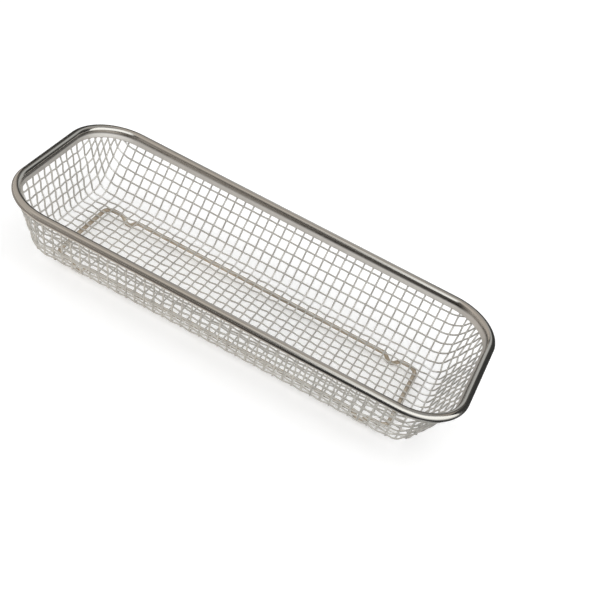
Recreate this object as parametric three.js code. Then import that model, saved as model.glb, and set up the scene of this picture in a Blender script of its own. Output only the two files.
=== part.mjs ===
// A drying basket of woven steel wire. A tray of square mesh, pressed to drafted walls with round corners,
// has its edge held in a rolled rim band over a core wire. It stands on one bent rod frame with four feet.
// Millimetres, +Z up, +X along the basket. The origin is under the middle, on the plane of the feet.
import * as THREE from 'three';

// Rim: a thin steel band rolled over a core wire, with a lip on each side of the mesh.
const RIM_LENGTH = 279.4; // over the roll, along X
const RIM_WIDTH = 121.9; // over the roll, along Y
const RIM_CORNER_RADIUS = 32.8; // outside of the roll, in plan
const CORE_WIRE = 3.4;
const BAND_THICKNESS = 0.5;
const INNER_LIP = 2.7; // below the roll, down the inside of the mesh
const OUTER_LIP = 0.8; // below the roll, down the outside of the mesh

// Mesh: wires in two layers, cross wires inside and long wires outside.
const BASKET_DEPTH = 35; // middle of the roll to middle of the mesh floor
const FLOOR_CORNER_RADIUS = 9.2; // edge of the flat floor, about the centres of the rim's corners
const FLOOR_BEND_RADIUS = 6; // bend from floor to wall
const CROSS_WIRES_A_SIDE = 20; // on the floor, left and right of the middle
const LONG_WIRES_A_SIDE = 6; // on the floor, front and back of the middle
const MESH_WIRE = 1;

// Foot frame: a closed ring of rod under the floor, bent down to a foot near each end of its long sides.
const FRAME_ROD = 2.6;
const FRAME_END_INSET = 10.3; // floor edge to middle of the rod, along X
const FRAME_SIDE_INSET = 6.75; // floor edge to middle of the rod, along Y
const FRAME_CORNER_RADIUS = 5.5;
const FOOT_SETBACK = 15.8; // end of the frame to middle of a foot
const FOOT_DROP = 4; // how far the rod dips
const FOOT_SLOPE_DEGREES = 47; // sides of the dip
const FOOT_FLAT = 1.5; // stretch of rod that stands on the table
const FOOT_BEND_RADIUS = 1.6;
const FOOT_SHOULDER_RADIUS = 3; // bend from the frame's level into the dip

// Gap between pieces that touch, and the fineness of round stretches.
const CLEARANCE = 0.3;
const WIRE_SIDES = 6;
const ROD_SIDES = 8;
const ROLL_STEPS = 9;
const CORNER_STEPS = 10;
const BEND_STEPS = 3;

// Levels, from the feet up.
const frameLevel = FRAME_ROD / 2 + FOOT_DROP;
const layerOffset = (MESH_WIRE + CLEARANCE) / 2; // middle of the mesh to middle of a layer
const floorLevel = frameLevel + FRAME_ROD / 2 + CLEARANCE + MESH_WIRE / 2 + layerOffset;

// Roll section: the bore takes the core wire, and the slot between the lips takes both layers of wire.
const slotHalf = layerOffset + MESH_WIRE / 2 + CLEARANCE;
const rollBore = Math.max(CORE_WIRE / 2, slotHalf) + CLEARANCE;
const rollRadius = rollBore + BAND_THICKNESS;

// Plan: every loop of the basket is a rounded rectangle about the same four corner centres,
// and a point's reach is how far it lies outside the rectangle of those centres.
const centreX = RIM_LENGTH / 2 - RIM_CORNER_RADIUS;
const centreY = RIM_WIDTH / 2 - RIM_CORNER_RADIUS;
const rollReach = RIM_CORNER_RADIUS - rollRadius;
const floorLength = 2 * (centreX + FLOOR_CORNER_RADIUS);
const floorWidth = 2 * (centreY + FLOOR_CORNER_RADIUS);

// Profile: flat floor, bend, then a straight wall that points at the middle of the roll.
const bendToRollOut = rollReach - FLOOR_CORNER_RADIUS;
const bendToRollUp = BASKET_DEPTH - FLOOR_BEND_RADIUS;
const bendToRoll = Math.hypot(bendToRollOut, bendToRollUp);
const wallAngle = Math.atan2(bendToRollUp, bendToRollOut) + Math.asin(FLOOR_BEND_RADIUS / bendToRoll);
const bendRun = FLOOR_BEND_RADIUS * wallAngle;
const wallFootReach = FLOOR_CORNER_RADIUS + FLOOR_BEND_RADIUS * Math.sin(wallAngle);
const wallFootHeight = FLOOR_BEND_RADIUS * (1 - Math.cos(wallAngle));

// Reaches on the wall, given by how far each lies below the middle of the roll.
const reachBelowRoll = (drop) => rollReach - drop * Math.cos(wallAngle);
const wireEndReach = reachBelowRoll(CORE_WIRE / 2 + CLEARANCE);
const rowTurnReach = reachBelowRoll(CORE_WIRE / 2 + CLEARANCE + MESH_WIRE / 2);
const topRowReach = reachBelowRoll(rollRadius + INNER_LIP + MESH_WIRE / 2 + CLEARANCE);

// Spacing of the wires along the sheet, which starts half a pitch from the middle of the basket.
const crossPitch = floorLength / 2 / CROSS_WIRES_A_SIDE;
const longPitch = floorWidth / 2 / LONG_WIRES_A_SIDE;
const crossRun = (i) => (i + 0.5) * crossPitch;
const longRun = (j) => (j + 0.5) * longPitch;

function reachAlongSheet(run) {
  const pastFloor = run - FLOOR_CORNER_RADIUS;
  if (pastFloor <= 0) {
    return run;
  }
  if (pastFloor <= bendRun) {
    return FLOOR_CORNER_RADIUS + FLOOR_BEND_RADIUS * Math.sin(pastFloor / FLOOR_BEND_RADIUS);
  }
  return wallFootReach + (pastFloor - bendRun) * Math.cos(wallAngle);
}

// Height of the sheet over the floor, and its slope, at a reach.
function sheetAtReach(reach) {
  const pastFloor = reach - FLOOR_CORNER_RADIUS;
  if (pastFloor <= 0) {
    return { height: 0, angle: 0 };
  }
  if (reach <= wallFootReach) {
    const angle = Math.asin(pastFloor / FLOOR_BEND_RADIUS);
    return { height: FLOOR_BEND_RADIUS * (1 - Math.cos(angle)), angle };
  }
  return { height: wallFootHeight + (reach - wallFootReach) * Math.tan(wallAngle), angle: wallAngle };
}

// A point of the mesh's middle surface over a plan position, with the normal to the inside.
function sheetAt(x, y) {
  const outX = Math.sign(x) * Math.max(Math.abs(x) - centreX, 0);
  const outY = Math.sign(y) * Math.max(Math.abs(y) - centreY, 0);
  const reach = Math.hypot(outX, outY);
  const { height, angle } = sheetAtReach(reach);
  const lean = reach > 0 ? Math.sin(angle) / reach : 0;
  const point = new THREE.Vector3(x, y, floorLevel + height);
  const normal = new THREE.Vector3(-lean * outX, -lean * outY, Math.cos(angle));
  return { reach, point, normal };
}

const reachOf = (point) => sheetAt(point.x, point.y).reach;

// Where cross wire i and long wire j meet, counted from the middle, in the quarter with X and Y positive.
// Beside a straight wall the sheet only bends. In a corner it can only shear, so there each meeting
// keeps its pitch from the two before it.
const meetings = new Map();

function meeting(i, j) {
  const key = `${i} ${j}`;
  if (!meetings.has(key)) {
    meetings.set(key, findMeeting(i, j));
  }
  return meetings.get(key);
}

function findMeeting(i, j) {
  const u = crossRun(i);
  const v = longRun(j);
  if (u > centreX && v > centreY) {
    return stepFrom(meeting(i - 1, j), meeting(i, j - 1), meeting(i - 1, j - 1));
  }
  const x = u <= centreX ? u : centreX + reachAlongSheet(u - centreX);
  const y = v <= centreY ? v : centreY + reachAlongSheet(v - centreY);
  return sheetAt(x, y).point;
}

// The sheet's point one cross pitch from a and one long pitch from b, on the side away from behind.
function stepFrom(a, b, behind) {
  const rounds = 60;
  const damping = 0.6;
  let x = a.x + b.x - behind.x;
  let y = a.y + b.y - behind.y;
  for (let round = 0; round < rounds; round += 1) {
    const { point, normal } = sheetAt(x, y);
    const riseX = -normal.x / normal.z;
    const riseY = -normal.y / normal.z;
    const fromA = point.clone().sub(a);
    const fromB = point.clone().sub(b);
    const errorA = fromA.length() - crossPitch;
    const errorB = fromB.length() - longPitch;
    fromA.normalize();
    fromB.normalize();
    const ax = fromA.x + fromA.z * riseX;
    const ay = fromA.y + fromA.z * riseY;
    const bx = fromB.x + fromB.z * riseX;
    const by = fromB.y + fromB.z * riseY;
    const determinant = ax * by - ay * bx;
    x -= damping * (errorA * by - errorB * ay) / determinant;
    y -= damping * (errorB * ax - errorA * bx) / determinant;
  }
  return sheetAt(x, y).point;
}

// Follows a wire up a corner from one meeting to the next, and cuts it at a reach, with no short stub.
function climb(meetingAfter, endReach) {
  const path = [meetingAfter(0)];
  let next = meetingAfter(1);
  while (reachOf(next) <= endReach) {
    path.push(next);
    next = meetingAfter(path.length);
  }
  const last = path.at(-1);
  const share = (endReach - reachOf(last)) / (reachOf(next) - reachOf(last));
  const end = last.clone().lerp(next, share);
  if (path.length > 1 && last.distanceTo(end) < 2 * MESH_WIRE) {
    path.pop();
  }
  return [...path, end];
}

// Reaches along half a wire that stays straight in plan: floor edge, bend, foot of the wall, end.
function straightReaches() {
  const bend = Array.from({ length: BEND_STEPS + 1 }, (_, step) => (
    FLOOR_CORNER_RADIUS + FLOOR_BEND_RADIUS * Math.sin((wallAngle * step) / BEND_STEPS)
  ));
  return [...bend, wireEndReach];
}

// Half of a wire in plan, from its straight stretch to the rim, in the quarter with X and Y positive.
function crossHalf(i, endReach) {
  if (crossRun(i) <= centreX) {
    return straightReaches().map((reach) => new THREE.Vector3(crossRun(i), centreY + reach, 0));
  }
  const lastStraight = Math.floor(centreY / longPitch - 0.5);
  return climb((step) => meeting(i, lastStraight + step), endReach);
}

function longHalf(j, endReach) {
  if (longRun(j) <= centreY) {
    return straightReaches().map((reach) => new THREE.Vector3(centreX + reach, longRun(j), 0));
  }
  const lastStraight = Math.floor(centreX / crossPitch - 0.5);
  return climb((step) => meeting(lastStraight + step, j), endReach);
}

// A whole wire in plan, from rim to rim, on the side of the basket that the sign gives.
function crossPlan(i, side, endReach) {
  const half = crossHalf(i, endReach).map(({ x, y }) => new THREE.Vector3(side * x, y, 0));
  const mirrored = half.map(({ x, y }) => new THREE.Vector3(x, -y, 0));
  return [...mirrored.reverse(), ...half];
}

function longPlan(j, side, endReach) {
  const half = longHalf(j, endReach).map(({ x, y }) => new THREE.Vector3(x, side * y, 0));
  const mirrored = half.map(({ x, y }) => new THREE.Vector3(-x, y, 0));
  return [...mirrored.reverse(), ...half];
}

// Stations of a wire over its plan, in the layer that lies the given way inside the middle surface.
function wireStations(plan, layer) {
  const laid = plan.map(({ x, y }) => sheetAt(x, y));
  const points = laid.map(({ point, normal }) => point.addScaledVector(normal, layer));
  return points.map((point, k) => {
    const after = points[Math.min(k + 1, points.length - 1)];
    const before = points[Math.max(k - 1, 0)];
    const tangent = after.clone().sub(point).normalize();
    tangent.add(point.clone().sub(before).normalize()).normalize();
    return { point, tangent, up: laid[k].normal };
  });
}

// The rows of one wall, bent to and fro as one wire whose turns are hidden in the rim's slot.
function rowsPlan(planOfRow, firstRow, lastRow) {
  const rows = Array.from({ length: lastRow - firstRow + 1 }, (_, k) => planOfRow(firstRow + k));
  return rows.flatMap((row, k) => (k % 2 === 0 ? row : row.reverse()));
}

// Regular section with a flat side down, a given size across its flats.
function roundSection(diameter, sides) {
  const radius = diameter / 2 / Math.cos(Math.PI / sides);
  return Array.from({ length: sides }, (_, k) => {
    const angle = ((k + 0.5) / sides) * 2 * Math.PI - Math.PI / 2;
    return [radius * Math.cos(angle), radius * Math.sin(angle)];
  });
}

// A closed body: the section stands at each station, across the tangent and upright to up.
function sweep(stations, section, closed) {
  const count = section.length;
  const positions = stations.flatMap(({ point, tangent, up }) => {
    const side = up.clone().cross(tangent).normalize();
    const rise = tangent.clone().cross(side);
    return section.flatMap(([across, along]) => (
      point.clone().addScaledVector(side, across).addScaledVector(rise, along).toArray()
    ));
  });
  const indices = [];
  const spans = closed ? stations.length : stations.length - 1;
  for (let k = 0; k < spans; k += 1) {
    const here = k * count;
    const there = ((k + 1) % stations.length) * count;
    for (let m = 0; m < count; m += 1) {
      const n = (m + 1) % count;
      indices.push(here + m, here + n, there + n, here + m, there + n, there + m);
    }
  }
  if (!closed) {
    const last = (stations.length - 1) * count;
    for (let m = 1; m < count - 1; m += 1) {
      indices.push(0, m + 1, m, last, last + m, last + m + 1);
    }
  }
  const geometry = new THREE.BufferGeometry();
  geometry.setAttribute('position', new THREE.Float32BufferAttribute(positions, 3));
  geometry.setIndex(indices);
  geometry.computeVertexNormals();
  return geometry;
}

// Stations round the four corner centres, clockwise from above, for a section of reaches and heights.
function rimStations() {
  const corners = [[1, 1], [1, -1], [-1, -1], [-1, 1]];
  return corners.flatMap(([signX, signY], corner) => (
    Array.from({ length: CORNER_STEPS + 1 }, (_, step) => {
      const angle = (Math.PI / 2) * (1 - corner - step / CORNER_STEPS);
      return {
        point: new THREE.Vector3(signX * centreX, signY * centreY, floorLevel + BASKET_DEPTH),
        tangent: new THREE.Vector3(Math.sin(angle), -Math.cos(angle), 0),
        up: new THREE.Vector3(0, 0, 1),
      };
    })
  ));
}

// Section of the rim band: a roll open below, whose edges run on down both sides of the mesh.
// It is drawn upright and leans with the wall.
function bandSection() {
  const lipSide = slotHalf + BAND_THICKNESS;
  const outerOpening = Math.asin(lipSide / rollRadius);
  const boreOpening = Math.asin(slotHalf / rollBore);
  const arc = (radius, opening) => Array.from({ length: ROLL_STEPS + 1 }, (_, step) => {
    const angle = opening - Math.PI / 2 + ((2 * Math.PI - 2 * opening) * step) / ROLL_STEPS;
    return [radius * Math.cos(angle), radius * Math.sin(angle)];
  });
  const outerEdge = -(rollRadius + OUTER_LIP);
  const innerEdge = -(rollRadius + INNER_LIP);
  const upright = [
    [lipSide, outerEdge],
    ...arc(rollRadius, outerOpening),
    [-lipSide, innerEdge],
    [-slotHalf, innerEdge],
    ...arc(rollBore, boreOpening).reverse(),
    [slotHalf, outerEdge],
  ];
  const lean = Math.PI / 2 - wallAngle;
  return upright.map(([across, along]) => [
    rollReach + across * Math.cos(lean) + along * Math.sin(lean),
    along * Math.cos(lean) - across * Math.sin(lean),
  ]);
}

function coreSection() {
  return roundSection(CORE_WIRE, ROD_SIDES).map(([across, along]) => [rollReach + across, along]);
}

// Stations along a closed polygon of rod with each corner bent to its own radius.
function bentLoop(corners) {
  return corners.flatMap(({ at, radius }, k) => {
    const before = corners.at(k - 1).at;
    const after = corners[(k + 1) % corners.length].at;
    const arriving = at.clone().sub(before).normalize();
    const leaving = after.clone().sub(at).normalize();
    const turn = arriving.angleTo(leaving);
    const axis = arriving.clone().cross(leaving).normalize();
    const start = at.clone().addScaledVector(arriving, -radius * Math.tan(turn / 2));
    const centre = start.clone().addScaledVector(axis.clone().cross(arriving), radius);
    const arm = start.clone().sub(centre);
    return Array.from({ length: BEND_STEPS + 1 }, (_, step) => {
      const angle = (turn * step) / BEND_STEPS;
      return {
        point: arm.clone().applyAxisAngle(axis, angle).add(centre),
        tangent: arriving.clone().applyAxisAngle(axis, angle),
        up: new THREE.Vector3(0, 0, 1),
      };
    });
  });
}

function frameStations() {
  const halfLength = floorLength / 2 - FRAME_END_INSET;
  const halfWidth = floorWidth / 2 - FRAME_SIDE_INSET;
  const slope = THREE.MathUtils.degToRad(FOOT_SLOPE_DEGREES);
  const toeHalf = FOOT_FLAT / 2 + FOOT_BEND_RADIUS * Math.tan(slope / 2);
  const shoulderHalf = toeHalf + FOOT_DROP / Math.tan(slope);
  const corner = (x, y, z, radius) => ({ at: new THREE.Vector3(x, y, z), radius });
  const foot = (x, y, heading) => [
    corner(x - heading * shoulderHalf, y, frameLevel, FOOT_SHOULDER_RADIUS),
    corner(x - heading * toeHalf, y, frameLevel - FOOT_DROP, FOOT_BEND_RADIUS),
    corner(x + heading * toeHalf, y, frameLevel - FOOT_DROP, FOOT_BEND_RADIUS),
    corner(x + heading * shoulderHalf, y, frameLevel, FOOT_SHOULDER_RADIUS),
  ];
  const footX = halfLength - FOOT_SETBACK;
  const longSide = (y, heading) => [
    corner(-heading * halfLength, y, frameLevel, FRAME_CORNER_RADIUS),
    ...foot(-heading * footX, y, heading),
    ...foot(heading * footX, y, heading),
    corner(heading * halfLength, y, frameLevel, FRAME_CORNER_RADIUS),
  ];
  return bentLoop([...longSide(halfWidth, 1), ...longSide(-halfWidth, -1)]);
}

function steelMesh(name, geometry, color, roughness) {
  const material = new THREE.MeshStandardMaterial({ color, roughness, metalness: 1 });
  const mesh = new THREE.Mesh(geometry, material);
  mesh.name = name;
  return mesh;
}

const wireSection = roundSection(MESH_WIRE, WIRE_SIDES);
const wireMesh = (name, plan, layer) => (
  steelMesh(name, sweep(wireStations(plan, layer), wireSection, false), 0xb4b5b7, 0.38)
);
const numbered = (name, k) => `${name}_${String(k + 1).padStart(2, '0')}`;

const basket = new THREE.Group();
basket.name = 'mesh_drying_basket';

// Floor wires, numbered from the middle out.
for (let i = 0; i < CROSS_WIRES_A_SIDE; i += 1) {
  const left = crossPlan(i, -1, wireEndReach);
  const right = crossPlan(i, 1, wireEndReach);
  basket.add(wireMesh(numbered('cross_wire_left', i), left, layerOffset));
  basket.add(wireMesh(numbered('cross_wire_right', i), right, layerOffset));
}
for (let j = 0; j < LONG_WIRES_A_SIDE; j += 1) {
  const front = longPlan(j, -1, wireEndReach);
  const back = longPlan(j, 1, wireEndReach);
  basket.add(wireMesh(numbered('long_wire_front', j), front, -layerOffset));
  basket.add(wireMesh(numbered('long_wire_back', j), back, -layerOffset));
}

// Wall rows: the wires that lie wholly on a wall, from the floor's edge up to the rim's inner lip.
function lastRow(firstRow, runOfRow, centre) {
  let row = firstRow;
  while (reachAlongSheet(runOfRow(row + 1) - centre) <= topRowReach) {
    row += 1;
  }
  return row;
}
const firstCrossRow = Math.ceil(CROSS_WIRES_A_SIDE);
const firstLongRow = Math.ceil(LONG_WIRES_A_SIDE);
const lastCrossRow = lastRow(firstCrossRow, crossRun, centreX);
const lastLongRow = lastRow(firstLongRow, longRun, centreY);
[['left', -1], ['right', 1]].forEach(([name, side]) => {
  const plan = rowsPlan((i) => crossPlan(i, side, rowTurnReach), firstCrossRow, lastCrossRow);
  basket.add(wireMesh(`${name}_wall_rows`, plan, layerOffset));
});
[['front', -1], ['back', 1]].forEach(([name, side]) => {
  const plan = rowsPlan((j) => longPlan(j, side, rowTurnReach), firstLongRow, lastLongRow);
  basket.add(wireMesh(`${name}_wall_rows`, plan, -layerOffset));
});

// Rim and foot frame.
basket.add(steelMesh('rim_band', sweep(rimStations(), bandSection(), true), 0xc8c3bc, 0.2));
basket.add(steelMesh('rim_core_wire', sweep(rimStations(), coreSection(), true), 0x9a9c9f, 0.45));
const rodSection = roundSection(FRAME_ROD, ROD_SIDES);
basket.add(steelMesh('foot_frame', sweep(frameStations(), rodSection, true), 0xa69a8d, 0.3));

export default basket;
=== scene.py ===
import math
import random

import bmesh
import bpy
from mathutils import Matrix, Vector


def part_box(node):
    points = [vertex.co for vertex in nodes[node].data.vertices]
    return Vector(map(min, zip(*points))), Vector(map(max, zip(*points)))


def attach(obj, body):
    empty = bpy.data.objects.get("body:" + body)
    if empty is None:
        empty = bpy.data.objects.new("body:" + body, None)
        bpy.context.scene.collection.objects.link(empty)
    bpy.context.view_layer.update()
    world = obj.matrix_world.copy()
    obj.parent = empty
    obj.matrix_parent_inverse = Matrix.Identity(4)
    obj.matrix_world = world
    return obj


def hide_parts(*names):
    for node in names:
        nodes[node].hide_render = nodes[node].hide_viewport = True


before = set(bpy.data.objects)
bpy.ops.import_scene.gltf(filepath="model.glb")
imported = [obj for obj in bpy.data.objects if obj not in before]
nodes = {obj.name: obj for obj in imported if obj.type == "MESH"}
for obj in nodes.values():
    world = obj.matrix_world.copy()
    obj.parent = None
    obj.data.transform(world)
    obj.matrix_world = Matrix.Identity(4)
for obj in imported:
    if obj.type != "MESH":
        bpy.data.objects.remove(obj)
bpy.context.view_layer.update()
print("frame: loaded", len(nodes), "nodes")

coreLow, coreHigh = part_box("rim_core_wire")
rodLow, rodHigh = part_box("foot_frame")
rimLevel = (coreLow.z + coreHigh.z) / 2  # middle of the rim's roll
rodTop = rodHigh.z


# small helpers for node trees and objects

def setValues(node, values):
    # constants on a node's sockets, by name or number
    for socket, value in values.items():
        node.inputs[socket].default_value = value


def addNode(tree, kind, values=None, **settings):
    node = tree.nodes.new(kind)
    for name, value in settings.items():
        setattr(node, name, value)
    setValues(node, values or {})
    return node


def feed(tree, socket, toNode, toSocket):
    tree.links.new(socket, toNode.inputs[toSocket])


def link(tree, fromNode, fromSocket, toNode, toSocket):
    feed(tree, fromNode.outputs[fromSocket], toNode, toSocket)


def newTree(name, kind, inputs, outputs):
    tree = bpy.data.node_groups.new(name, kind)
    for way, sockets in (("INPUT", inputs), ("OUTPUT", outputs)):
        for label, holds in sockets.items():
            tree.interface.new_socket(name=label, in_out=way, socket_type="NodeSocket" + holds)
    return tree, addNode(tree, "NodeGroupInput"), addNode(tree, "NodeGroupOutput")


def newGeometryTree(name, sizes):
    return newTree(name, "GeometryNodeTree", {"Geometry": "Geometry", **sizes}, {"Geometry": "Geometry"})


def finishTree(tree, geometry, materialSocket, outputNode):
    smooth = addNode(tree, "GeometryNodeSetShadeSmooth")
    realize = addNode(tree, "GeometryNodeRealizeInstances")
    paint = addNode(tree, "GeometryNodeSetMaterial")
    feed(tree, geometry, smooth, "Geometry")
    link(tree, smooth, "Geometry", realize, "Geometry")
    link(tree, realize, "Geometry", paint, "Geometry")
    feed(tree, materialSocket, paint, "Material")
    link(tree, paint, "Geometry", outputNode, "Geometry")


def readAttribute(tree, name, kind):
    node = addNode(tree, "GeometryNodeInputNamedAttribute", {"Name": name}, data_type=kind)
    return node.outputs["Attribute"]


def storeAttribute(tree, geometry, name, kind, value):
    settings = {"data_type": kind, "domain": "POINT"}
    node = addNode(tree, "GeometryNodeStoreNamedAttribute", {"Name": name}, **settings)
    feed(tree, geometry, node, "Geometry")
    feed(tree, value, node, "Value")
    return node.outputs["Geometry"]


def addObject(name, data):
    added = bpy.data.objects.new(name, data)
    bpy.context.scene.collection.objects.link(added)
    return added


def layValues(mesh, **lists):
    # one number for each point of the mesh, under each label
    for label, values in lists.items():
        mesh.attributes.new(label, "FLOAT", "POINT").data.foreach_set("value", values)


def growPiece(name, mesh, tree, sizes):
    # the tree grows on the laid points, and the result is kept as a plain mesh
    piece = addObject(name, mesh)
    modifier = piece.modifiers.new("grow", "NODES")
    modifier.node_group = tree
    for item in tree.interface.items_tree:
        if item.item_type == "SOCKET" and item.in_out == "INPUT" and item.name in sizes:
            modifier[item.identifier] = sizes[item.name]
    bpy.context.view_layer.update()
    depsgraph = bpy.context.evaluated_depsgraph_get()
    grown = bpy.data.meshes.new_from_object(piece.evaluated_get(depsgraph))
    piece.modifiers.clear()
    piece.data = grown
    grown.name = name
    bpy.data.meshes.remove(mesh)
    return piece


def placePiece(piece, slot, *replaced):
    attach(piece, "root")
    if replaced:
        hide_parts(*replaced)
    faces = sum(len(p.vertices) - 2 for p in piece.data.polygons)
    print("piece:", piece.name, faces, "triangles")


# finishes: one group gives drawn steel its streaks, one gives the heat tint beside a weld

# a Mix node's sockets go by number
numberA = 2
numberB = 3
numberMixed = 0
colourA = 6
colourB = 7
colourMixed = 2


def makeDrawnSteelGroup():
    tree, given, result = newTree("drawnSteel", "ShaderNodeTree", {
        "Coordinates": "Vector",
        "Streaks Along": "Float",
        "Streaks Across": "Float",
        "Bright": "Color",
        "Dull": "Color",
        "Smooth": "Float",
        "Rough": "Float",
    }, {"Colour": "Color", "Roughness": "Float", "Streak Height": "Float"})
    streakShare = 0.65
    cloudShare = 0.35

    # x runs along the piece, y and z run round it
    stretch = addNode(tree, "ShaderNodeCombineXYZ")
    link(tree, given, "Streaks Along", stretch, "X")
    link(tree, given, "Streaks Across", stretch, "Y")
    link(tree, given, "Streaks Across", stretch, "Z")
    scaled = addNode(tree, "ShaderNodeVectorMath", operation="MULTIPLY")
    link(tree, given, "Coordinates", scaled, 0)
    link(tree, stretch, "Vector", scaled, 1)
    streaks = addNode(tree, "ShaderNodeTexNoise", {"Scale": 1.0, "Detail": 4.0, "Roughness": 0.6})
    link(tree, scaled, "Vector", streaks, "Vector")

    # slow clouds of handling and polishing
    clouds = addNode(tree, "ShaderNodeTexNoise", {"Scale": 55.0, "Detail": 3.0})
    link(tree, given, "Coordinates", clouds, "Vector")
    cloudPart = addNode(tree, "ShaderNodeMath", {1: cloudShare}, operation="MULTIPLY")
    link(tree, clouds, "Fac", cloudPart, 0)
    blend = addNode(tree, "ShaderNodeMath", {1: streakShare}, operation="MULTIPLY_ADD")
    link(tree, streaks, "Fac", blend, 0)
    link(tree, cloudPart, "Value", blend, 2)
    wearRange = {"From Min": 0.32, "From Max": 0.68}
    wear = addNode(tree, "ShaderNodeMapRange", wearRange, interpolation_type="SMOOTHSTEP")
    link(tree, blend, "Value", wear, "Value")

    colour = addNode(tree, "ShaderNodeMix", data_type="RGBA")
    link(tree, wear, "Result", colour, "Factor")
    link(tree, given, "Bright", colour, colourA)
    link(tree, given, "Dull", colour, colourB)
    link(tree, colour, colourMixed, result, "Colour")
    rough = addNode(tree, "ShaderNodeMapRange")
    link(tree, wear, "Result", rough, "Value")
    link(tree, given, "Smooth", rough, "To Min")
    link(tree, given, "Rough", rough, "To Max")
    link(tree, rough, "Result", result, "Roughness")
    link(tree, streaks, "Fac", result, "Streak Height")
    return tree


def makeHeatTintGroup():
    tree, given, result = newTree("heatTint", "ShaderNodeTree", {
        "Coordinates": "Vector",
        "Steel": "Color",
        "Straw": "Color",
        "Patch Scale": "Float",
        "Amount": "Float",
    }, {"Colour": "Color"})
    patches = addNode(tree, "ShaderNodeTexNoise", {"Detail": 2.0})
    link(tree, given, "Coordinates", patches, "Vector")
    link(tree, given, "Patch Scale", patches, "Scale")
    patchRange = {"From Min": 0.38, "From Max": 0.64}
    spread = addNode(tree, "ShaderNodeMapRange", patchRange, interpolation_type="SMOOTHSTEP")
    link(tree, patches, "Fac", spread, "Value")
    amount = addNode(tree, "ShaderNodeMath", operation="MULTIPLY")
    link(tree, spread, "Result", amount, 0)
    link(tree, given, "Amount", amount, 1)
    tint = addNode(tree, "ShaderNodeMix", data_type="RGBA")
    link(tree, amount, "Value", tint, "Factor")
    link(tree, given, "Steel", tint, colourA)
    link(tree, given, "Straw", tint, colourB)
    link(tree, tint, colourMixed, result, "Colour")
    return tree


drawnSteel = makeDrawnSteelGroup()
heatTint = makeHeatTintGroup()


def newMaterial(name, values):
    material = bpy.data.materials.new(name)
    material.use_nodes = True
    tree = material.node_tree
    shader = tree.nodes["Principled BSDF"]
    setValues(shader, values)
    return material, tree, shader


def newSteel(name, finish, metallic, bumpDistance):
    # a metal with the drawn steel group on it, whose coordinates are linked by the caller
    material, tree, shader = newMaterial(name, {"Metallic": metallic})
    streaks = addNode(tree, "ShaderNodeGroup", finish, node_tree=drawnSteel)
    bump = addNode(tree, "ShaderNodeBump", {"Strength": 0.25, "Distance": bumpDistance})
    link(tree, streaks, "Streak Height", bump, "Height")
    link(tree, bump, "Normal", shader, "Normal")
    link(tree, streaks, "Colour", shader, "Base Color")
    link(tree, streaks, "Roughness", shader, "Roughness")
    return material, tree, shader, streaks


def attribute(tree, name):
    return addNode(tree, "ShaderNodeAttribute", attribute_name=name).outputs


def wireCoordinates(tree):
    # along the wire in metres, and round it
    ringParts = addNode(tree, "ShaderNodeSeparateXYZ")
    laid = addNode(tree, "ShaderNodeCombineXYZ")
    feed(tree, attribute(tree, "ring")["Vector"], ringParts, "Vector")
    feed(tree, attribute(tree, "along")["Fac"], laid, "X")
    link(tree, ringParts, "X", laid, "Y")
    link(tree, ringParts, "Y", laid, "Z")
    return laid.outputs["Vector"]


def makeMeshWireSteel():
    finish = {
        "Streaks Along": 60.0,
        "Streaks Across": 2500.0,
        "Bright": (0.71, 0.69, 0.65, 1.0),
        "Dull": (0.57, 0.55, 0.515, 1.0),
        "Smooth": 0.24,
        "Rough": 0.40,
    }
    material, tree, shader, streaks = newSteel("meshWireSteel", finish, 0.5, 0.00004)
    feed(tree, wireCoordinates(tree), streaks, "Coordinates")
    # each wire comes off its own reel, a little lighter or darker
    brightness = addNode(tree, "ShaderNodeMapRange", {"To Min": 0.86, "To Max": 1.1})
    shade = addNode(tree, "ShaderNodeHueSaturation")
    feed(tree, attribute(tree, "tone")["Fac"], brightness, "Value")
    link(tree, brightness, "Result", shade, "Value")
    link(tree, streaks, "Colour", shade, "Color")
    # painted highlight: the inner side of the wires is made lighter at the fold of the floor
    # and on a strip of each wall in the back left corner, where the bent wires catch the light
    highlightColour = (0.97, 0.96, 0.94, 1.0)
    surface = addNode(tree, "ShaderNodeNewGeometry")
    facing = addNode(tree, "ShaderNodeVectorMath", operation="DOT_PRODUCT")
    inner = addNode(tree, "ShaderNodeMapRange", {"From Min": -0.1, "From Max": 0.4})
    amount = addNode(tree, "ShaderNodeMath", operation="MULTIPLY")
    paintedHighlight = addNode(tree, "ShaderNodeMix", {colourB: highlightColour}, data_type="RGBA")
    feed(tree, attribute(tree, "inward")["Vector"], facing, 0)
    link(tree, surface, "Normal", facing, 1)
    link(tree, facing, "Value", inner, "Value")
    link(tree, inner, "Result", amount, 0)
    feed(tree, attribute(tree, "fold")["Fac"], amount, 1)
    link(tree, amount, "Value", paintedHighlight, "Factor")
    link(tree, shade, "Color", paintedHighlight, colourA)
    link(tree, paintedHighlight, colourMixed, shader, "Base Color")
    return material


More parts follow.
